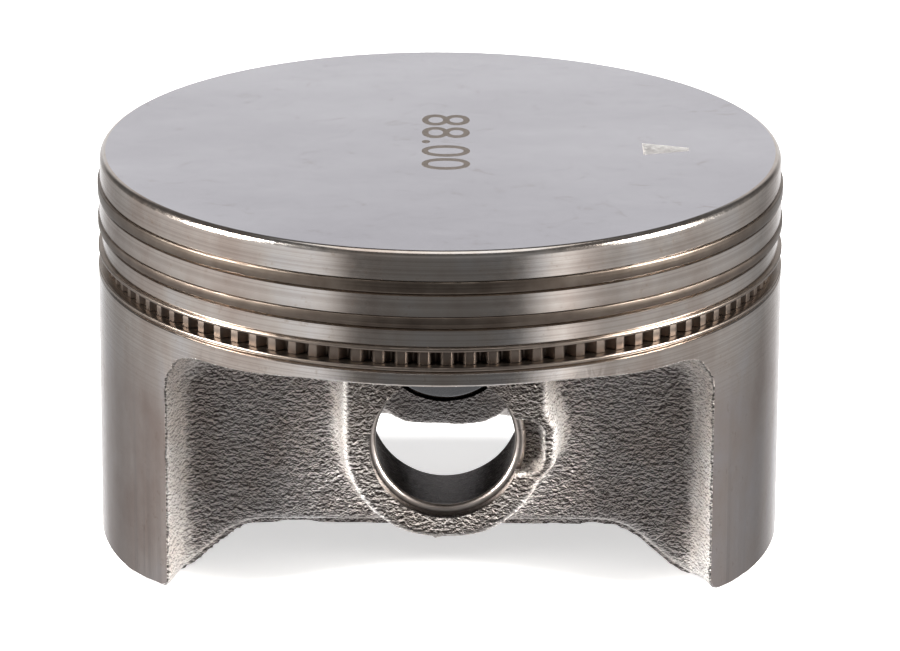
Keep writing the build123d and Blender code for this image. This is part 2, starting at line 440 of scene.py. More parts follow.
def texture_share(past_crest, notch, depth, roof, inside_skirt, over_arch):
    """How much sand texture each point keeps: little on the boss rim, the roof and the edges."""
    on_rim = ramp(past_crest, *RIM_INNER) * ramp(RIM_WIDTH - past_crest, *RIM_FADE)
    on_rim = on_rim * ramp(depth, *RIM_DEPTH) * ramp(notch, *RIM_NOTCH)
    share = 1 - RIM_SMOOTHING * on_rim
    share *= faded(ROOF_TEXTURE, roof, *ROOF_TEXTURE_SPAN)
    share *= ramp(inside_skirt, *SKIRT_TEXTURE_SPAN)
    share *= faded(ARCH_TEXTURE, over_arch, *ARCH_TEXTURE_SPAN)
    return share


def side_air(name, side, step):
    """Air beside one pin boss: the recess, its fillets and the arch under the web."""
    low = (-AIR_HALF_WIDTH - AIR_MARGIN, WEB_MIDDLE - AIR_MARGIN, AIR_FLOOR - AIR_MARGIN)
    high = (AIR_HALF_WIDTH + AIR_MARGIN, AIR_RADIUS + AIR_MARGIN, BELT_BOTTOM + AIR_HEADROOM)
    x, d, z = grid(low, high, step)
    web = d - WEB_OUTER
    wall_face = RECESS_HALF_WIDTH - (RECESS_EDGE - d) * RECESS_WALL_SLOPE
    wall = (wall_face - np.abs(x)) / math.hypot(1, RECESS_WALL_SLOPE)
    roof = BELT_BOTTOM - ROOF_DROOP * ramp(np.abs(x), *ROOF_DROOP_X) - z
    near_roof = 1 - ramp(roof, *NEAR_ROOF)
    boss, past_crest, notch = boss_metal(x, d, z)
    metal = smooth_min(roof, web, ROOF_FILLET)
    metal = smooth_min(wall, metal, SIDE_FILLET + WALL_FILLET_GROWTH * near_roof)
    metal = smooth_min(metal, boss, SIDE_FILLET + BOSS_FILLET_GROWTH * near_roof)
    above_arch = -arch_air(x, z)
    metal = smooth_max(metal, above_arch, ARCH_ROUND)
    radius = np.hypot(x, d)
    metal = smooth_max(metal, radius - SKIRT_RADIUS - LIP_STANDOFF, LIP_ROUND)
    near = np.abs(metal) < TEXTURE_REACH
    points = np.stack([x[near], side * d[near], z[near]], 1)
    share = texture_share(past_crest[near], notch[near], d[near], roof[near],
                          SKIRT_RADIUS - radius[near], -above_arch[near])
    metal[near] -= share * sand_texture(points)
    air = np.maximum(-metal, radius - AIR_RADIUS)
    air = np.maximum(air, np.maximum(AIR_FLOOR - z, WEB_MIDDLE - d))
    air = np.maximum(air, np.abs(x) - AIR_HALF_WIDTH)
    air = np.maximum(air, z - BELT_BOTTOM - AIR_OVERLAP)
    obj = field_mesh(name, air, low, step)
    if side < 0:
        obj.data.transform(Matrix.Scale(-1, 4, Vector((0, 1, 0))))
        obj.data.flip_normals()
    return obj


INSIDE_MARGIN = 1
INSIDE_OVERLAP = 0.1
INSIDE_HEADROOM = 1.5
CROWN_FILLET = 6.0
WEB_FILLET = 4.0
INNER_BOSS_ROUND = 1.2
INNER_BOSS_FILLET = 3.0
INNER_ARCH_ROUND = 1.2
INSIDE_REACH = 1.5
INSIDE_SWELL = 0.12
INSIDE_CELLS = (2.4, 2.4, 2.4)


def inner_air(name, step):
    """Air under the crown, between the webs, with the inner halves of both bosses left in."""
    reach = WEB_MIDDLE + INSIDE_OVERLAP
    ceiling = HEIGHT - CROWN_THICKNESS
    low = (-AIR_RADIUS - INSIDE_MARGIN, -reach - INSIDE_MARGIN, AIR_FLOOR - INSIDE_MARGIN)
    high = (AIR_RADIUS + INSIDE_MARGIN, reach + INSIDE_MARGIN, ceiling + INSIDE_HEADROOM)
    x, y, z = grid(low, high, step)
    d = np.abs(y)
    radius = np.hypot(x, y)
    narrowing = ramp(z, SKIRT_INNER_TOP, BELT_INNER_BOTTOM)
    wall = radius - SKIRT_INNER_RADIUS + (SKIRT_INNER_RADIUS - BELT_INNER_RADIUS) * narrowing
    air = smooth_max(wall, z - ceiling, CROWN_FILLET)
    air = smooth_max(air, d - WEB_INNER, WEB_FILLET)
    boss_radius = BOSS_FACE_RADIUS + (BOSS_FACE - WEB_OUTER) * BOSS_DRAFT
    boss = smooth_max(boss_section(x, z) - boss_radius, BOSS_INNER - d, INNER_BOSS_ROUND)
    air = smooth_max(air, -boss, INNER_BOSS_FILLET)
    air = smooth_min(air, arch_air(x, z), INNER_ARCH_ROUND)
    near = np.abs(air) < INSIDE_REACH
    points = np.stack([x[near], y[near], z[near]], 1)
    air[near] += INSIDE_SWELL * lattice_noise(points, INSIDE_CELLS, SEEDS["inside"])
    air = np.maximum(air, radius - AIR_RADIUS)
    air = np.maximum(air, np.maximum(AIR_FLOOR - z, d - reach))
    return field_mesh(name, air, low, step)


# ---------------------------------------------------------------- the piston body

def groove_levels():
    """Floor and ceiling of each groove, from the rings that the frame holds."""
    levels = []
    for (lower, upper), clearance in zip(GROOVE_NODES, RING_SIDE_CLEARANCE, strict=True):
        floor = cad_box(lower)[0][2] - clearance
        ceiling = cad_box(upper)[1][2] + clearance
        levels.append((floor, ceiling))
    return levels


def turned_body():
    """Crown, lands, grooves and skirt surface as one turning."""
    outline = [(0, 0), (SKIRT_RADIUS - SKIRT_FOOT_CHAMFER, 0), (SKIRT_RADIUS, SKIRT_FOOT_CHAMFER)]
    below = SKIRT_RADIUS
    for (floor, ceiling), above in reversed(list(zip(groove_levels(), LAND_RADII, strict=True))):
        outline += [(below, floor - GROOVE_LIP), (below - GROOVE_LIP_DEPTH, floor)]
        outline += [(GROOVE_ROOT_RADIUS, floor), (GROOVE_ROOT_RADIUS, ceiling)]
        outline += [(above - GROOVE_EDGE, ceiling), (above, ceiling + GROOVE_EDGE)]
        below = above
    centre_r, centre_z = below - CROWN_EDGE_ROUND, HEIGHT - CROWN_EDGE_ROUND
    for step in range(CROWN_EDGE_STEPS + 1):
        angle = math.radians(90 * step / CROWN_EDGE_STEPS)
        out, up = CROWN_EDGE_ROUND * math.cos(angle), CROWN_EDGE_ROUND * math.sin(angle)
        outline.append((centre_r + out, centre_z + up))
    outline.append((0, HEIGHT))
    return lathe("piston_casting", outline)


def pin_cylinder(name, radius, start, end):
    """Cylinder on the pin axis between two Y positions."""
    outline = [(0, start), (radius, start), (radius, end), (0, end)]
    obj = lathe(name, outline, steps=PIN_STEPS, axis="Y")
    obj.data.transform(Matrix.Translation(PIN_PLACE))
    return obj


MARK_CLEARANCE = 0.5
MARK_SLOPE_WIDTH = 1.15
MARK_TIP_DEPTH = 0.8 * MARK_DEPTH
MARK_LEAST_FLOOR = 0.1


def mark_pit():
    """Cutter for the fitting mark: a long wedge with a sloping far side and a level floor."""
    points = []
    top = HEIGHT + MARK_CLEARANCE
    ends = (
        (MARK_START, MARK_HALF_WIDTH, MARK_DEPTH),
        (MARK_START + MARK_LENGTH, MARK_TIP_HALF_WIDTH, MARK_TIP_DEPTH),
    )
    for x, half, depth in ends:
        near, far = MARK_CENTRE - half, MARK_CENTRE + half
        foot = far - MARK_SLOPE_WIDTH
        slope = (far - foot) / MARK_DEPTH
        floor_z = HEIGHT - depth
        points += [(x, near, top), (x, near, floor_z), (x, max(foot, near + MARK_LEAST_FLOOR), floor_z)]
        points.append((x, far + MARK_CLEARANCE * slope, top))
    sides = [(k, (k + 1) % 4, (k + 1) % 4 + 4, k + 4) for k in range(4)]
    obj = new_object("mark", points, [(3, 2, 1, 0), (4, 5, 6, 7)] + sides)
    face_outwards(obj)
    return obj


BORE_OVERRUN = 2
DRAIN_OVERRUN = 1.5


def machining_cutters():
    """Cutters for the pin bore, circlip grooves, drain holes and fitting mark."""
    reach = CYLINDER_RADIUS + BORE_OVERRUN
    cutters = [pin_cylinder("bore", PIN_BORE_RADIUS, -reach, reach)]
    for side in (-1, 1):
        middle = side * CLIP_CENTRE
        half = CLIP_GROOVE_WIDTH / 2
        cutters.append(pin_cylinder("clip_groove", CLIP_GROOVE_RADIUS, middle - half, middle + half))
    floor, ceiling = groove_levels()[2]
    level = Matrix.Translation((0, 0, (floor + ceiling) / 2 * MM))
    start, end = BELT_INNER_RADIUS - DRAIN_OVERRUN, GROOVE_ROOT_RADIUS + DRAIN_OVERRUN
    outline = [(0, start), (DRAIN_RADIUS, start), (DRAIN_RADIUS, end), (0, end)]
    for thrust_side in (0, 180):
        for angle in DRAIN_ANGLES:
            drill = lathe("drain", outline, steps=DRAIN_STEPS)
            turn = Matrix.Rotation(math.radians(thrust_side + angle), 4, "Z")
            drill.data.transform(level @ (turn @ Matrix.Rotation(math.pi / 2, 4, "Y")))
            cutters.append(drill)
    cutters.append(mark_pit())
    return cutters


SURFACES = ("cast", "crown", "turned", "groove", "bore", "mark")
TOUCH = 0.02
ON_SKIRT = 0.06
TURNED_LEAST_RADIUS = 43.0
TURNED_OUTWARD = 0.6
CROWN_EDGE_DEPTH = 1.5
GROOVE_RADII = (39.9, 43.9)
BORE_DEPTHS = (BOSS_INNER - 0.6, BOSS_FACE + 0.3)
ALONG_PIN = 0.99
ACROSS_PIN = 0.05
CROWN_SKIN = 0.01
CROWN_FACING = 0.9
MARK_REACH = 38
TINY = 1e-6


def face_surfaces(centre, normal):
    """Index of the surface that each face belongs to, by where it lies and how it faces."""
    x, y, z = centre.T / MM
    nx, ny, nz = normal.T
    radius = np.hypot(x, y)
    outward = (nx * x + ny * y) / np.maximum(radius, TINY)
    surface = np.zeros(len(centre), np.int32)
    turned = (outward > TURNED_OUTWARD) | (z > HEIGHT - CROWN_EDGE_DEPTH)
    turned &= (radius > TURNED_LEAST_RADIUS)
    turned &= (z > BELT_BOTTOM) | (np.abs(radius - SKIRT_RADIUS) < ON_SKIRT)
    surface[turned] = SURFACES.index("turned")
    in_belt = (radius < GROOVE_RADII[1]) & (radius > GROOVE_RADII[0])
    for floor, ceiling in groove_levels():
        surface[(z > floor - TOUCH) & (z < ceiling + TOUCH) & in_belt] = SURFACES.index("groove")
    from_pin = np.hypot(x - PIN_OFFSET, z - PIN_HEIGHT)
    depth = np.abs(y)
    bore = (from_pin < CLIP_GROOVE_RADIUS + TOUCH) & (depth < BORE_DEPTHS[1]) & (depth > BORE_DEPTHS[0])
    along = (np.abs(ny) > ALONG_PIN) & (np.abs(depth - CLIP_CENTRE) < CLIP_GROOVE_WIDTH / 2 + TOUCH)
    round_wall = np.abs(from_pin - PIN_BORE_RADIUS) < TOUCH
    round_wall |= np.abs(from_pin - CLIP_GROOVE_RADIUS) < TOUCH
    surface[bore & (along | (round_wall & (np.abs(ny) < ACROSS_PIN)))] = SURFACES.index("bore")
    surface[(z > HEIGHT - CROWN_SKIN) & (nz > CROWN_FACING)] = SURFACES.index("crown")
    pit = (z < HEIGHT - TOUCH) & (z > HEIGHT - MARK_DEPTH - TOUCH) & (radius < MARK_REACH)
    surface[pit] = SURFACES.index("mark")
    return surface


CRISP_COSINE = 0.9
CAST_CRISP_COSINE = -0.2


def crisp_edges(mesh, surface, normal):
    """Mark the edges that stay sharp: between surfaces, and at machined corners."""
    loop_edge = np.zeros(len(mesh.loops), np.int32)
    mesh.loops.foreach_get("edge_index", loop_edge)
    totals = np.zeros(len(surface), np.int32)
    mesh.polygons.foreach_get("loop_total", totals)
    loop_face = np.repeat(np.arange(len(surface)), totals)
    order = np.argsort(loop_edge, kind="stable")
    pair_edge, pair_face = loop_edge[order], loop_face[order]
    same = np.flatnonzero(pair_edge[1:] == pair_edge[:-1])
    first, second = pair_face[same], pair_face[same + 1]
    cosine = np.einsum("ij,ij->i", normal[first], normal[second])
    cast = SURFACES.index("cast")
    both_cast = (surface[first] == cast) & (surface[second] == cast)
    crisp = (surface[first] != surface[second]) | (~both_cast & (cosine < CRISP_COSINE))
    crisp |= both_cast & (cosine < CAST_CRISP_COSINE)
    sharp = np.zeros(len(mesh.edges), bool)
    sharp[pair_edge[same]] = crisp
    attribute = mesh.attributes.get("sharp_edge") or mesh.attributes.new("sharp_edge", "BOOLEAN", "EDGE")
    attribute.data.foreach_set("value", sharp)


def sort_surfaces(obj):
    """Give each face its surface and each edge its shading."""
    mesh = obj.data
    count = len(mesh.polygons)
    centre = np.zeros(count * 3, np.float32)
    normal = np.zeros(count * 3, np.float32)
    mesh.polygons.foreach_get("center", centre)
    mesh.polygons.foreach_get("normal", normal)
    normal = normal.reshape(-1, 3)
    surface = face_surfaces(centre.reshape(-1, 3), normal)
    mesh.polygons.foreach_set("material_index", surface)
    crisp_edges(mesh, surface, normal)
    mesh.polygons.foreach_set("use_smooth", np.ones(count, bool))


FRONT_STEP = 0.27
REAR_STEP = 0.36
INSIDE_STEP = 0.7


def piston_casting(materials):
    """Turned outside, cast recesses and hollow, then the machined bores and the mark."""
    body = turned_body()
    cutters = [
        side_air("front_air", -1, FRONT_STEP),
        side_air("rear_air", 1, REAR_STEP),
        inner_air("inner_air", INSIDE_STEP),
    ]
    cutters += machining_cutters()
    subtract(body, cutters)
    body.data.materials.clear()
    for surface in SURFACES:
        body.data.materials.append(materials[surface])
    sort_surfaces(body)
    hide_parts("piston_body")
    return body


# ---------------------------------------------------------------- pin, clip and rings

CRISP_DEGREES = 30


def finish_piece(obj, node, material):
    """Smooth shading and material of one replaced part, with its CAD node hidden."""
    obj.data.materials.append(material)
    obj.data.polygons.foreach_set("use_smooth", np.ones(len(obj.data.polygons), bool))
    obj.data.set_sharp_from_angle(angle=math.radians(CRISP_DEGREES))
    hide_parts(node)
    return obj


PIN_END_ROUND = 0.55


def gudgeon_pin(material):
    """Ground tube with rounded ends."""
    start, end = PIN_LOW[1], PIN_HIGH[1]
    corners = [(PIN_INNER_RADIUS, start), (PIN_RADIUS, start), (PIN_RADIUS, end), (PIN_INNER_RADIUS, end)]
    outline = rounded_path(corners, (PIN_END_ROUND,) * 4, 4)
    pin = lathe("pin_tube", outline, steps=PIN_STEPS, axis="Y")
    pin.data.transform(Matrix.Translation(PIN_PLACE))
    return finish_piece(pin, "gudgeon_pin", material)


def tube_faces(rows, sides):
    """Faces of a closed tube whose points run round each row in turn."""
    faces = []
    for start in range(0, (rows - 1) * sides, sides):
        for k in range(sides):
            after = (k + 1) % sides
            faces.append([start + k, start + sides + k, start + sides + after, start + after])
    last = (rows - 1) * sides
    return faces + [list(range(sides)), list(range(last, last + sides))[::-1]]


CLIP_ROWS = 120
CLIP_SIDES = 20
CLIP_DOME_ROWS = 6
CLIP_DOME = 0.95 * CLIP_WIRE_RADIUS
CLIP_TIP_SHARE = 0.0004
CLIP_CLEARANCE = 0.03


def circlip(material):
    """Round wire bent to a ring, with domed ends at the gap."""
    centre = CLIP_GROOVE_RADIUS - CLIP_CLEARANCE - CLIP_WIRE_RADIUS
    gap = math.radians(CLIP_GAP_DEGREES)
    length = centre * (2 * math.pi - gap)
    quarter = np.linspace(0, math.pi / 2, CLIP_DOME_ROWS)
    first_dome = CLIP_DOME * (1 - np.cos(quarter[:-1]))
    second_dome = length - CLIP_DOME * (1 - np.sin(quarter[1:]))
    middle = np.linspace(CLIP_DOME, length - CLIP_DOME, CLIP_ROWS)
    distance = np.concatenate([first_dome, middle, second_dome])
    from_end = np.minimum(distance, length - distance)
    taper = np.clip(1 - from_end / CLIP_DOME, 0, 1)
    width = (CLIP_WIRE_RADIUS * np.sqrt(np.clip(1 - taper ** 2, CLIP_TIP_SHARE, 1)))[:, None]
    angles = (math.pi / 2 + gap / 2 + distance / centre)[:, None]
    around = np.linspace(0, 2 * math.pi, CLIP_SIDES, endpoint=False)
    radial = centre + width * np.cos(around)
    along = -CLIP_CENTRE + width * np.sin(around)
    x = PIN_OFFSET + radial * np.cos(angles)
    z = PIN_HEIGHT + radial * np.sin(angles)
    points = np.stack([x, along, z], 2).reshape(-1, 3)
    clip = new_object("clip_wire", points, tube_faces(len(distance), CLIP_SIDES))
    face_outwards(clip)
    return finish_piece(clip, "circlip", material)


RING_STEPS = 300


def split_ring(name, corners, radii, node, material):
    """Ring turned from a rounded section, open at its end gap."""
    gap = math.degrees(RING_GAP / CYLINDER_RADIUS)
    ring = lathe(name, rounded_path(corners, radii, 3), GAP_ANGLES[node] + gap / 2, 360 - gap, RING_STEPS)
    return finish_piece(ring, node, material)


def ring_levels(node):
    """Bottom and top of a ring in the frame."""
    low, high = cad_box(node)
    return low[2], high[2]


def flat_section(node, inner):
    """Rectangular section of a ring, from its inner radius to the cylinder."""
    low, high = ring_levels(node)
    return [(inner, low), (CYLINDER_RADIUS, low), (CYLINDER_RADIUS, high), (inner, high)]


def top_ring(material):
    """Upper compression ring with rounded edges."""
    corners = flat_section("top_ring", RING_INNER_RADIUS)
    radii = (0.1, 0.16, 0.16, 0.1)
    return split_ring("compression_ring", corners, radii, "top_ring", material)


SCRAPER_HOOK = 0.45


def second_ring(material):
    """Scraper ring with a hook cut in its lower edge."""
    low, high = ring_levels("second_ring")
    step_radius, step_height = CYLINDER_RADIUS - SCRAPER_HOOK, low + SCRAPER_HOOK
    corners = [(RING_INNER_RADIUS, low), (step_radius, low), (step_radius, step_height),
               (CYLINDER_RADIUS, step_height), (CYLINDER_RADIUS, high), (RING_INNER_RADIUS, high)]
    radii = (0.1, 0.05, 0.1, 0.05, 0.14, 0.1)
    return split_ring("scraper_ring", corners, radii, "second_ring", material)


def oil_rail(node, name, material):
    """Thin rail of the oil ring with rounded edges."""
    corners = flat_section(node, RAIL_INNER_RADIUS)
    return split_ring(name, corners, (0.2,) * 4, node, material)


EXPANDER_FOLDS = 96
EXPANDER_STEPS_PER_FOLD = 14
EXPANDER_MIDDLE = 42.05
EXPANDER_WAVE = 0.62
EXPANDER_WAVE_GAIN = 1.5
EXPANDER_WAVE_BIAS = 0.6
EXPANDER_THICKNESS = 0.42
EXPANDER_EDGE_ROUND = 0.08
EXPANDER_GAP_DEGREES = 0.6


def oil_expander(material):
    """Thin strip folded in and out all round, between the two rails."""
    low, high = ring_levels("oil_expander")
    steps = EXPANDER_FOLDS * EXPANDER_STEPS_PER_FOLD
    gap = math.radians(EXPANDER_GAP_DEGREES)
    start = math.radians(GAP_ANGLES["oil_expander"]) + gap / 2
    angle = start + (2 * math.pi - gap) * np.arange(steps + 1) / steps
    wave = EXPANDER_WAVE_GAIN * np.sin(EXPANDER_FOLDS * (angle - start)) + EXPANDER_WAVE_BIAS
    middle = EXPANDER_MIDDLE + EXPANDER_WAVE * np.clip(wave, -1, 1)
    half = EXPANDER_THICKNESS / 2
    corners = [(-half, low), (half, low), (half, high), (-half, high)]
    section = rounded_path(corners, (EXPANDER_EDGE_ROUND,) * 4, 2)
    points = [((m + r) * math.cos(a), (m + r) * math.sin(a), z)
              for a, m in zip(angle, middle, strict=True) for r, z in section]
    strip = new_object("expander_strip", points, tube_faces(steps + 1, len(section)))
    face_outwards(strip)
    return finish_piece(strip, "oil_expander", material)


# ---------------------------------------------------------------- materials

class Graph:
    """Short way to add nodes to a node tree."""

    def __init__(self, tree):
        self.tree = tree

    def node(self, kind, **values):
        made = self.tree.nodes.new(kind)
        for key, value in values.items():
            setattr(made, key, value)
        return made

    def link(self, source, target):
        self.tree.links.new(source, target)

    def feed(self, value, socket):
        """Give a socket a number, a colour or a link."""
        if isinstance(value, (int, float)):
            socket.default_value = value
        elif isinstance(value, tuple):
            socket.default_value = (*value, 1)
        else:
            self.link(value, socket)

    def math(self, operation, *values):
        """One step of arithmetic."""
        made = self.node("ShaderNodeMath", operation=operation)
        for value, socket in zip(values, made.inputs):
            self.feed(value, socket)
        return made.outputs[0]

    def split(self, vector):
        """X, Y and Z of a vector."""
        made = self.node("ShaderNodeSeparateXYZ")
        self.link(vector, made.inputs[0])
        return made.outputs

    def joined(self, **parts):
        """Vector from the named parts, the others zero."""
        made = self.node("ShaderNodeCombineXYZ")
        for key, value in parts.items():
            self.link(value, made.inputs[key])
        return made.outputs[0]

    def ramp(self, source, stops):
        """Colour ramp from (position, colour) stops."""
        made = self.node("ShaderNodeValToRGB")
        elements = made.color_ramp.elements
        while len(elements) < len(stops):
            elements.new(0.5)
        for element, (position, colour) in zip(elements, stops, strict=True):
            element.position = position
            element.color = (*colour, 1)
        self.link(source, made.inputs["Fac"])
        return made.outputs["Color"]

    def between(self, source, low, high, from_low=0.3, from_high=0.7, curve="LINEAR"):
        """Map a number, most often a noise, to a range of numbers."""
        made = self.node("ShaderNodeMapRange", interpolation_type=curve)
        values = {"From Min": from_low, "From Max": from_high, "To Min": low, "To Max": high}
        for key, value in values.items():
            made.inputs[key].default_value = value
        self.link(source, made.inputs["Value"])
        return made.outputs["Result"]

    def mix(self, share, a, b, blend="MIX"):
        """Mix two colours."""
        made = self.node("ShaderNodeMix", data_type="RGBA", blend_type=blend)
        for value, socket in ((share, made.inputs[0]), (a, made.inputs[6]), (b, made.inputs[7])):
            self.feed(value, socket)
        return made.outputs[2]


class Paint(Graph):
    """Short way to build one procedural metal."""

    def __init__(self, name, metallic=1.0, anisotropic=0.0):
        self.material = bpy.data.materials.new(name)
        self.material.use_nodes = True
        super().__init__(self.material.node_tree)
        self.shader = self.tree.nodes["Principled BSDF"]
        self.shader.inputs["Metallic"].default_value = metallic
        self.shader.inputs["Anisotropic"].default_value = anisotropic
        self.place = self.node("ShaderNodeTexCoord").outputs["Object"]

    def noise(self, scale, detail=3.0, rough=0.55, distortion=0.0, shift=(0, 0, 0)):
        """Noise with features about 1/scale millimetres wide along each axis."""
        mapping = self.node("ShaderNodeMapping")
        mapping.inputs["Location"].default_value = shift
        mapping.inputs["Scale"].default_value = [size / MM for size in scale]
        self.link(self.place, mapping.inputs["Vector"])
        made = self.node("ShaderNodeTexNoise")
        values = {"Scale": 1.0, "Detail": detail, "Roughness": rough, "Distortion": distortion}
        for key, value in values.items():
            made.inputs[key].default_value = value
        self.link(mapping.outputs["Vector"], made.inputs["Vector"])
        return made.outputs["Fac"]

    def rings_noise(self, pitch_radial, pitch_height, detail=2.0):
        """Noise that only changes with radius and height, as a lathe leaves it."""
        x, y, z = self.split(self.place)
        length = self.node("ShaderNodeVectorMath", operation="LENGTH")
        self.link(self.joined(X=x, Y=y), length.inputs[0])
        out = self.math("MULTIPLY", length.outputs["Value"], 1 / MM / pitch_radial)
        up = self.math("MULTIPLY", z, 1 / MM / pitch_height)
        made = self.node("ShaderNodeTexNoise")
        made.inputs["Scale"].default_value = 1.0
        made.inputs["Detail"].default_value = detail
        self.link(self.joined(X=out, Z=up), made.inputs["Vector"])
        return made.outputs["Fac"]

    def share_by_y(self, vector, none, full):
        """Share from 0 to 1 as the size of a vector's Y goes from none to full."""
        size = self.math("ABSOLUTE", self.split(vector)["Y"])
        return self.between(size, 0.0, 1.0, none, full)

    def out_along_y(self, start, end):
        """Share that grows with the distance from the XZ plane, in millimetres."""
        return self.share_by_y(self.place, start * MM, end * MM)

    def turned_from_y(self, none, full):
        """Share that grows as the surface turns away from the Y axis."""
        return self.share_by_y(self.node("ShaderNodeTexCoord").outputs["Normal"], none, full)

    def bump(self, sources):
        """Chain of bumps, each (height, depth in millimetres)."""
        normal = None
        for source, depth in sources:
            made = self.node("ShaderNodeBump")
            made.inputs["Strength"].default_value = 1.0
            made.inputs["Distance"].default_value = depth * MM
            self.link(source, made.inputs["Height"])
            if normal is not None:
                self.link(normal, made.inputs["Normal"])
            normal = made.outputs["Normal"]
        self.link(normal, self.shader.inputs["Normal"])

    def finish(self, base, roughness, bumps):
        """Connect base colour, roughness and bumps to the shader."""
        self.link(base, self.shader.inputs["Base Color"])
        self.link(roughness, self.shader.inputs["Roughness"])
        self.bump(bumps)
        return self.material

    def two_tone(self, cloud, colours, marks, rough, depth):
        """Base colour from one noise, roughness and bump from another."""
        base = self.ramp(cloud, [(0.3, colours[0]), (0.7, colours[1])])
        return self.finish(base, self.between(marks, *rough), [(marks, depth)])


RIPPLE_SCALE = (1.7, 1.7, 2.5)
# Upward shift of the ripple copy and the span of their difference, for the painted highlight and shade on
# the ripples
EMBOSS_SHADE_SHIFT = (0, 0, 0.30)
EMBOSS_SHADE_SPAN = 0.11
# Span along Y over which the outer boss face is painted darker, as painted shade
BOSS_FACE_SHADE_SPAN = (25.0, 29.2)


def cast_material():
    """Sand-cast aluminium: grey ripples with a painted highlight on their upward sides and painted shade on
    their downward sides, painted lighter where the skin turns away from the web and painted darker on the
    outer boss face.
    """
    paint = Paint("cast_skin")
    ripple = paint.noise(RIPPLE_SCALE, 3, 0.62, 0.4)
    # Painted highlight and shade: the ripples minus a copy shifted up come out lighter on their upward sides
    # and darker on their downward sides
    lower = paint.noise(RIPPLE_SCALE, 3, 0.62, 0.4, EMBOSS_SHADE_SHIFT)
    emboss_shade = paint.between(paint.math("SUBTRACT", ripple, lower), 0.0, 1.0, -EMBOSS_SHADE_SPAN, EMBOSS_SHADE_SPAN)
    grain = paint.noise((4.5, 4.5, 6.5), 2, 0.6)
    cloud = paint.noise((0.16, 0.16, 0.16), 3)
    emboss_shade_greys = [(0.18, (0.055, 0.048, 0.045)), (0.5, (0.255, 0.235, 0.225)), (0.9, (0.84, 0.80, 0.78))]
    skin = paint.ramp(emboss_shade, emboss_shade_greys)
    # Painted shade: the skin is multiplied darker towards the outer boss face
    boss_face_shade = paint.mix(1.0, skin, (0.42, 0.41, 0.40), "MULTIPLY")
    skin = paint.mix(paint.out_along_y(*BOSS_FACE_SHADE_SPAN), skin, boss_face_shade)
    # Painted highlight: where the skin turns away from the web it takes a brighter ramp, as if lit by the
    # side lamps
    lit_wall_greys = [(0.14, (0.30, 0.265, 0.24)), (0.42, (0.90, 0.855, 0.82)), (0.75, (0.99, 0.97, 0.95))]
    base = paint.mix(paint.turned_from_y(0.90, 0.55), skin, paint.ramp(emboss_shade, lit_wall_greys))
    tint = paint.ramp(cloud, [(0.35, (0.92, 0.88, 0.85)), (0.65, (1.0, 1.0, 1.0))])
    base = paint.mix(1.0, base, tint, "MULTIPLY")
    return paint.finish(base, paint.between(grain, 0.34, 0.50), [(ripple, 0.70), (grain, 0.06)])


def crown_material():
    """Crown face: fine satin with a few stains."""
    paint = Paint("crown_satin")
    cloud = paint.noise((0.035, 0.06, 0.05), 4, 0.5)
    stain = paint.noise((0.22, 0.22, 0.22), 5, 0.7, 1.0)
    base = paint.ramp(cloud, [(0.3, (0.470, 0.455, 0.485)), (0.7, (0.550, 0.535, 0.565))])
    spots = paint.ramp(stain, [(0.60, (1, 1, 1)), (0.78, (0.86, 0.82, 0.78))])
    base = paint.mix(1.0, base, spots, "MULTIPLY")
    return paint.finish(base, paint.between(stain, 0.20, 0.26), [(paint.rings_noise(0.3, 5.0), 0.0004)])


BELT_LOOK = (24.0, 33.5)


def turned_material():
    """Lands and skirts: warm satin, with lathe lines that show most on the ring belt."""
    paint = Paint("turned_satin", anisotropic=0.3)
    cloud = paint.noise((0.07, 0.07, 0.05), 4, 0.6)
    spots = paint.noise((0.9, 0.9, 0.9), 4, 0.7)
    lines = paint.rings_noise(5.0, 0.26, 2)
    fine = paint.rings_noise(5.0, 0.11, 2)
    on_belt = paint.between(paint.split(paint.place)["Z"], 0.0, 1.0, BELT_LOOK[0] * MM, BELT_LOOK[1] * MM)
    warm = [(0.32, (0.47, 0.395, 0.35)), (0.50, (0.575, 0.525, 0.485)), (0.68, (0.615, 0.60, 0.60))]
    dirt = paint.ramp(spots, [(0.60, (1, 1, 1)), (0.76, (0.80, 0.74, 0.69))])
    base = paint.mix(1.0, paint.ramp(cloud, warm), dirt, "MULTIPLY")
    shade = paint.ramp(lines, [(0.38, (0.87, 0.845, 0.82)), (0.58, (1.03, 1.02, 1.0))])
    # Below the ring belt the colour is multiplied darker and browner, without the lathe lines
    skirt_tone = paint.mix(1.0, base, (0.80, 0.755, 0.745), "MULTIPLY")
    base = paint.mix(on_belt, skirt_tone, paint.mix(1.0, base, shade, "MULTIPLY"))
    bumps = [(fine, 0.005), (paint.rings_noise(5.0, 0.8, 1), 0.008)]
    return paint.finish(base, paint.between(spots, 0.12, 0.20), bumps)


def groove_material():
    """Ring groove walls: finely turned, in browner, darker tones than the lands."""
    paint = Paint("groove_turned")
    lines = paint.rings_noise(0.3, 0.3, 2)
    return paint.two_tone(lines, ((0.40, 0.33, 0.28), (0.52, 0.45, 0.40)), lines, (0.28, 0.4), 0.003)


def bore_material():
    """Honed pin bore, with its colour painted near black as the shade inside the bore."""
    paint = Paint("honed_bore_painted_shade")
    grain = paint.noise((1.2, 9.0, 1.2), 3)
    # Painted shade: the bore's colours are kept near black
    return paint.two_tone(grain, ((0.085, 0.070, 0.062), (0.115, 0.098, 0.088)), grain, (0.2, 0.3), 0.002)


def mark_material():
    """Bright stamped pit of the fitting mark."""
    paint = Paint("stamped_pit")
    grain = paint.noise((2.0, 2.0, 2.0), 4, 0.7)
    return paint.two_tone(grain, ((0.80, 0.76, 0.74), (0.98, 0.96, 0.94)), grain, (0.38, 0.52), 0.08)


def etched_material():
    """Brown-grey laser etching."""
    paint = Paint("laser_etch", metallic=0.35)
    grain = paint.noise((3.0, 3.0, 3.0), 3)
    return paint.two_tone(grain, ((0.080, 0.065, 0.055), (0.135, 0.115, 0.100)), grain, (0.5, 0.7), 0.01)
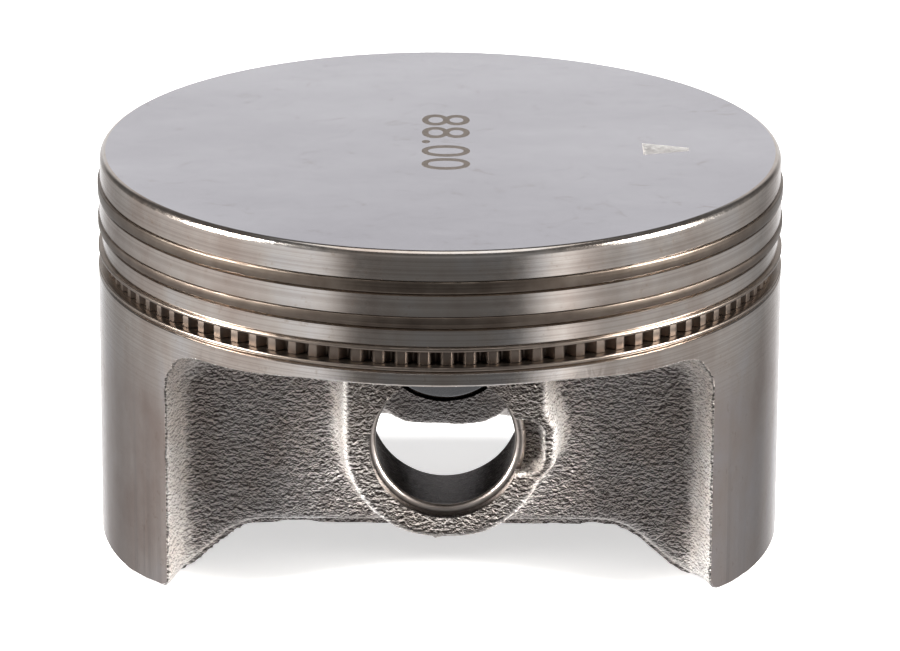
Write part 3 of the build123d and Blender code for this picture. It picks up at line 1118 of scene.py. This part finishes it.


# Dark and light colour, roughness span, pitch of the lines round the part and their depth in millimetres
# The ring colours are dark for their nitrided, phosphated and steel finish, and also as painted shade
# standing in for the shade of the ring grooves
STEELS = {
    "spring_wire": ((0.46, 0.40, 0.36), (0.60, 0.54, 0.50), (0.26, 0.38), 0.4, 0.002),
    "nitrided_shaded_face": ((0.115, 0.090, 0.072), (0.17, 0.14, 0.115), (0.26, 0.36), 0.14, 0.004),
    "phosphated_shaded_face": ((0.10, 0.078, 0.064), (0.15, 0.122, 0.10), (0.32, 0.44), 0.14, 0.005),
    "rail_edge": ((0.20, 0.165, 0.14), (0.30, 0.25, 0.21), (0.24, 0.36), 0.14, 0.003),
    "expander_strip": ((0.12, 0.095, 0.080), (0.17, 0.14, 0.118), (0.40, 0.50), 0.3, 0.003),
}


def steel_material(name):
    """Steel with fine lines round it and small colour changes."""
    dark, light, rough, line_pitch, depth = STEELS[name]
    paint = Paint(name)
    cloud = paint.noise((0.35, 0.35, 0.35), 4, 0.6)
    lines = paint.rings_noise(line_pitch, line_pitch, 2)
    return paint.two_tone(cloud, (dark, light), lines, rough, depth)


def ground_steel():
    """Ground gudgeon pin: bright, with fine marks round the tube."""
    paint = Paint("ground_steel")
    marks = paint.noise((0.25, 14.0, 0.25), 3, 0.6)
    cloud = paint.noise((0.12, 0.12, 0.12), 3)
    return paint.two_tone(cloud, ((0.56, 0.56, 0.57), (0.63, 0.63, 0.64)), marks, (0.12, 0.22), 0.002)


def body_materials():
    """Material of each surface of the piston body."""
    return {
        "cast": cast_material(),
        "crown": crown_material(),
        "turned": turned_material(),
        "groove": groove_material(),
        "bore": bore_material(),
        "mark": mark_material(),
    }


# ---------------------------------------------------------------- size numerals

SIZE_TEXT = "88.00"
TEXT_HEIGHT = 6.2
TEXT_LENGTH = 24.0
TEXT_CENTRE = (0.7, 1.8)
TEXT_THICKNESS = 0.02
TEXT_CAPITAL_SHARE = 0.72


def size_numerals(material):
    """Bore size etched in the crown, read from the +X side."""
    curve = bpy.data.curves.new("bore_size_etching", "FONT")
    curve.body = SIZE_TEXT
    curve.align_x = "CENTER"
    curve.align_y = "CENTER"
    curve.size = TEXT_HEIGHT * MM / TEXT_CAPITAL_SHARE
    curve.extrude = TEXT_THICKNESS / 2 * MM
    curve.resolution_u = 8
    text = bpy.data.objects.new("bore_size_etching", curve)
    bpy.context.scene.collection.objects.link(text)
    bpy.context.view_layer.update()
    depsgraph = bpy.context.evaluated_depsgraph_get()
    mesh = bpy.data.meshes.new_from_object(text.evaluated_get(depsgraph))
    bpy.data.objects.remove(text)
    points = np.zeros(len(mesh.vertices) * 3)
    mesh.vertices.foreach_get("co", points)
    points = points.reshape(-1, 3) / MM
    low, high = points.min(0), points.max(0)
    along = (points[:, 0] - (low[0] + high[0]) / 2) / (high[0] - low[0]) * TEXT_LENGTH
    across = (points[:, 1] - (low[1] + high[1]) / 2) / (high[1] - low[1]) * TEXT_HEIGHT
    points = np.stack([TEXT_CENTRE[0] + across, TEXT_CENTRE[1] - along, HEIGHT + points[:, 2]], 1)
    mesh.vertices.foreach_set("co", (points * MM).ravel())
    mesh.update()
    obj = bpy.data.objects.new("bore_size_etching", mesh)
    bpy.context.scene.collection.objects.link(obj)
    mesh.materials.append(material)
    return obj


# ---------------------------------------------------------------- stage

CAMERA_AZIMUTH = 0.0
CAMERA_ELEVATION = math.radians(18.98)
CAMERA_ROLL = math.radians(0.2225)
CAMERA_DISTANCE = 760.38 * MM
CAMERA_TARGET = Vector((0, 0, 26.0 * MM))
CAMERA_LENS = 234.69
CAMERA_SHIFT = (0.0114, 0.0044)


def camera():
    """Long lens at the level and side that the part is looked at from."""
    data = bpy.data.cameras.new("camera")
    data.sensor_width = 36.0
    data.lens = CAMERA_LENS
    data.shift_x, data.shift_y = CAMERA_SHIFT
    data.clip_start, data.clip_end = 0.05, 20.0
    obj = bpy.data.objects.new("camera", data)
    bpy.context.scene.collection.objects.link(obj)
    flat = math.cos(CAMERA_ELEVATION)
    side, ahead = math.sin(CAMERA_AZIMUTH) * flat, -math.cos(CAMERA_AZIMUTH) * flat
    back = Vector((side, ahead, math.sin(CAMERA_ELEVATION)))
    turn = back.to_track_quat("Z", "Y").to_matrix().to_4x4()
    place = Matrix.Translation(CAMERA_TARGET + back * CAMERA_DISTANCE)
    obj.matrix_world = place @ turn @ Matrix.Rotation(CAMERA_ROLL, 4, "Z")
    bpy.context.scene.camera = obj


FLOOR_HALF = 3000.0


def floor():
    """Plain pale floor."""
    half = FLOOR_HALF
    corners = [(-half, -half, 0), (half, -half, 0), (half, half, 0), (-half, half, 0)]
    obj = new_object("floor", corners, [(0, 1, 2, 3)])
    material = bpy.data.materials.new("pale_floor")
    material.use_nodes = True
    shader = material.node_tree.nodes["Principled BSDF"]
    shader.inputs["Base Color"].default_value = (0.93, 0.93, 0.93, 1)
    shader.inputs["Roughness"].default_value = 0.9
    shader.inputs["Specular IOR Level"].default_value = 0.1
    shader.inputs["Emission Color"].default_value = (1, 1, 1, 1)
    shader.inputs["Emission Strength"].default_value = 0.55
    obj.data.materials.append(material)
    obj.visible_glossy = False


def area_light(name, place, target, size, power, colour=(1, 1, 1)):
    """Soft rectangular light aimed at a point."""
    data = bpy.data.lights.new(name, "AREA")
    data.shape = "RECTANGLE"
    data.size, data.size_y = size
    data.energy = power
    data.color = colour
    obj = bpy.data.objects.new(name, data)
    bpy.context.scene.collection.objects.link(obj)
    direction = Vector(target) - Vector(place)
    obj.matrix_world = Matrix.Translation(place) @ direction.to_track_quat("-Z", "Y").to_matrix().to_4x4()


LIGHT_TARGET_HEIGHT = 0.03
SOFTBOX_AZIMUTH = 77.0
SOFTBOX_DISTANCE = 0.9
SOFTBOX_SIZE = (0.36, 0.60)
SOFTBOX_HEIGHT = 0.33
SOFTBOX_POWER = 30.0
SOFTBOX_COLOUR = (1.0, 0.985, 0.96)
OVERHEAD_HEIGHT = 1.1
OVERHEAD_SIZE = (0.80, 0.80)
OVERHEAD_POWER = 3.0


def lights():
    """A softbox on each side and a wider one overhead."""
    target = (0, 0, LIGHT_TARGET_HEIGHT)
    for name, side in (("left_softbox", -1), ("right_softbox", 1)):
        azimuth = math.radians(side * SOFTBOX_AZIMUTH)
        x, y = SOFTBOX_DISTANCE * math.sin(azimuth), -SOFTBOX_DISTANCE * math.cos(azimuth)
        area_light(name, (x, y, SOFTBOX_HEIGHT), target, SOFTBOX_SIZE, SOFTBOX_POWER, SOFTBOX_COLOUR)
    area_light("overhead", (0, 0, OVERHEAD_HEIGHT), target, OVERHEAD_SIZE, OVERHEAD_POWER)


# Brightness of the studio by azimuth in degrees from the camera side, below the horizon and above it
BELOW = ((-180, 1.25), (-166, 1.10), (-154, 0.52), (-140, 0.36), (-112, 0.60), (-85, 0.82), (-58, 0.80),
         (-40, 0.95), (-35, 0.66), (-29, 0.16), (0, 0.15), (27, 0.14), (36, 0.95), (42, 1.45), (48, 0.85),
         (58, 0.45), (70, 0.60), (85, 0.52), (112, 0.50), (140, 0.28), (154, 0.56), (166, 1.10), (180, 1.25))
ABOVE = ((-180, 0.90), (-158, 0.90), (-146, 0.10), (-60, 0.22), (60, 0.22), (146, 0.10), (158, 0.90),
         (180, 0.90))
NADIR = 0.80
CEILING = 0.12
WORLD_PEAK = 1.5
WORLD_TINT = (0.985, 0.985, 1.0)


def grey(level):
    """Brightness as a colour for the world's background."""
    return (level / WORLD_PEAK,) * 3


def world():
    """Bright behind, at the sides and below, dim on the camera side."""
    made = bpy.data.worlds.new("studio")
    bpy.context.scene.world = made
    made.use_nodes = True
    graph = Graph(made.node_tree)
    x, y, z = graph.split(graph.node("ShaderNodeTexCoord").outputs["Generated"])
    turn = graph.math("ARCTAN2", x, graph.math("MULTIPLY", y, -1))
    around = graph.between(turn, 0.0, 1.0, -math.pi, math.pi)

    def by_azimuth(stops):
        return graph.ramp(around, [((azimuth + 180) / 360, grey(level)) for azimuth, level in stops])

    def by_height(low, high, first, second):
        """First below the lower sine of elevation, second above the higher one."""
        return graph.mix(graph.between(z, 0.0, 1.0, low, high, "SMOOTHSTEP"), first, second)

    level = by_height(-0.10, 0.16, by_azimuth(BELOW), by_azimuth(ABOVE))
    level = by_height(-0.78, -0.52, grey(NADIR), level)
    level = by_height(0.46, 0.62, level, grey(CEILING))
    background = graph.tree.nodes["Background"]
    graph.link(graph.mix(1.0, level, WORLD_TINT, "MULTIPLY"), background.inputs["Color"])
    background.inputs["Strength"].default_value = WORLD_PEAK


# ---------------------------------------------------------------- build

def main():
    """Stage, then each piece on the body that it moves with."""
    bpy.context.scene.view_settings.view_transform = "Standard"
    camera()
    floor()
    lights()
    world()
    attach(piston_casting(body_materials()), "piston")
    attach(size_numerals(etched_material()), "piston")
    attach(circlip(steel_material("spring_wire")), "piston")
    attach(gudgeon_pin(ground_steel()), "pin")
    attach(top_ring(steel_material("nitrided_shaded_face")), "top_ring_body")
    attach(second_ring(steel_material("phosphated_shaded_face")), "second_ring_body")
    rail = steel_material("rail_edge")
    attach(oil_rail("oil_rail_upper", "upper_rail", rail), "oil_rail_upper_body")
    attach(oil_rail("oil_rail_lower", "lower_rail", rail), "oil_rail_lower_body")
    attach(oil_expander(steel_material("expander_strip")), "oil_expander_body")


main()
